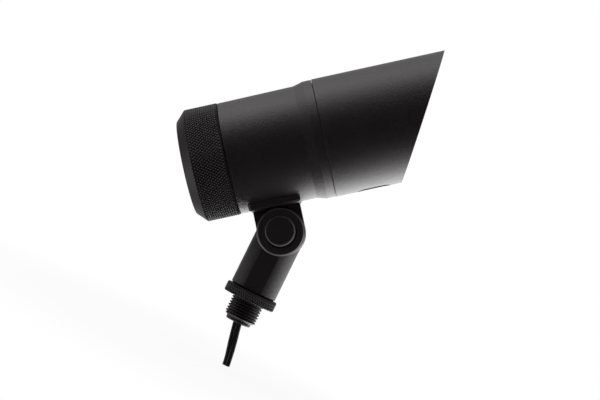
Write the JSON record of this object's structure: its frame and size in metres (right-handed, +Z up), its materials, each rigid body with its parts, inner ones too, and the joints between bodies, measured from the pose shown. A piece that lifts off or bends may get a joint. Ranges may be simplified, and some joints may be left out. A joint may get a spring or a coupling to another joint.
{
  "type": "uplight",
  "caption": "Tilting garden uplight: tapered black spot head, slant-cut glare shroud, knurled screw cap, round knuckle stem with milled flats and threaded stub with a flat lead.",
  "frame": {"origin": "on the threaded stub's axis at the lock ring's lower face, where the exposed thread begins", "axes": "+Z up the stem, away from the threaded stub; Y along the tilt axis, with the round cap on the -Y side; +X the way the head points"},
  "size_m": [0.1428, 0.075, 0.2368],
  "materials": {
    "black_coat": "fine matt black powder coat over aluminium",
    "black_rubber": "matt moulded silicone rubber",
    "clear_glass": "clear toughened glass",
    "bright_reflector": "bright metallised reflector",
    "white_board": "white solder mask on a metal-core board",
    "emitter_yellow": "satin phosphor gel",
    "white_plastic": "matt moulded plastic",
    "green_board": "satin green solder mask",
    "steel": "plain stainless steel",
    "wire_insulation": "satin wire insulation",
    "grey_polymer": "matt filled nylon",
    "lead_jacket": "satin black flexible jacket"
  },
  "bodies": {
    "stem": {"stem": "black_coat", "threaded_stub": "black_coat", "cord_bush": "black_rubber", "inner_lead": "lead_jacket", "lead_cord": "lead_jacket", "friction_washer": "grey_polymer", "pivot_nut": "steel", "pivot_cap": "black_coat"},
    "head": {"housing": "black_coat", "lens": "clear_glass", "lens_gasket": "black_rubber", "lens_ring": "black_coat", "reflector": "bright_reflector", "led_board": "white_board", "led_emitter": "emitter_yellow", "emitter_holder": "white_plastic", "board_screws": "steel", "driver_cup": "white_plastic", "driver_board": "green_board", "driver_screws": "steel", "led_leads": "wire_insulation", "head_leads": "wire_insulation", "saddle_pad": "black_coat", "head_lug": "black_coat", "lug_screws": "steel", "shroud_oring": "black_rubber"},
    "shroud": {"shroud": "black_coat"},
    "rear_seal": {"rear_oring": "black_rubber"},
    "rear_cap": {"rear_cap": "black_coat"},
    "seal_washer": {"seal_washer": "black_rubber"},
    "lock_ring": {"lock_ring": "black_coat"},
    "clamp_bolt": {"pivot_bolt": "steel", "bolt_washer": "steel"}
  },
  "joints": [
    {"name": "head_tilt", "type": "hinge", "parent": "stem", "child": "head", "pos_m": [0, 0, 0.047], "axis": [0, -1, 0], "range_deg": [-98, 47]},
    {"name": "shroud_turn", "type": "hinge", "parent": "head", "child": "shroud", "pos_m": [-0.00282, 0, 0.11165], "axis": [0.7842, 0, 0.6205], "continuous": true},
    {"name": "cap_slide", "type": "slide", "parent": "head", "child": "rear_seal", "axis": [-0.7842, 0, -0.6205], "range_m": [0, 0.00601]},
    {"name": "cap_turn", "type": "hinge", "parent": "rear_seal", "child": "rear_cap", "pos_m": [-0.00282, 0, 0.11165], "axis": [-0.7842, 0, -0.6205], "range_deg": [0, 1440]},
    {"name": "ring_slide", "type": "slide", "parent": "stem", "child": "seal_washer", "axis": [0, 0, -1], "range_m": [0, 0.00727]},
    {"name": "ring_turn", "type": "hinge", "parent": "seal_washer", "child": "lock_ring", "pos_m": [0, 0, 0], "axis": [0, 0, -1], "range_deg": [0, 1440]},
    {"name": "clamp_turn", "type": "hinge", "parent": "stem", "child": "clamp_bolt", "pos_m": [0, 0, 0.047], "axis": [0, 1, 0], "range_deg": [0, 360]}
  ],
  "couplings": [
    {"joint": "cap_slide", "follows": "cap_turn", "m_per_rad": 0.00023873},
    {"joint": "ring_slide", "follows": "ring_turn", "m_per_rad": 0.00028871}
  ]
}
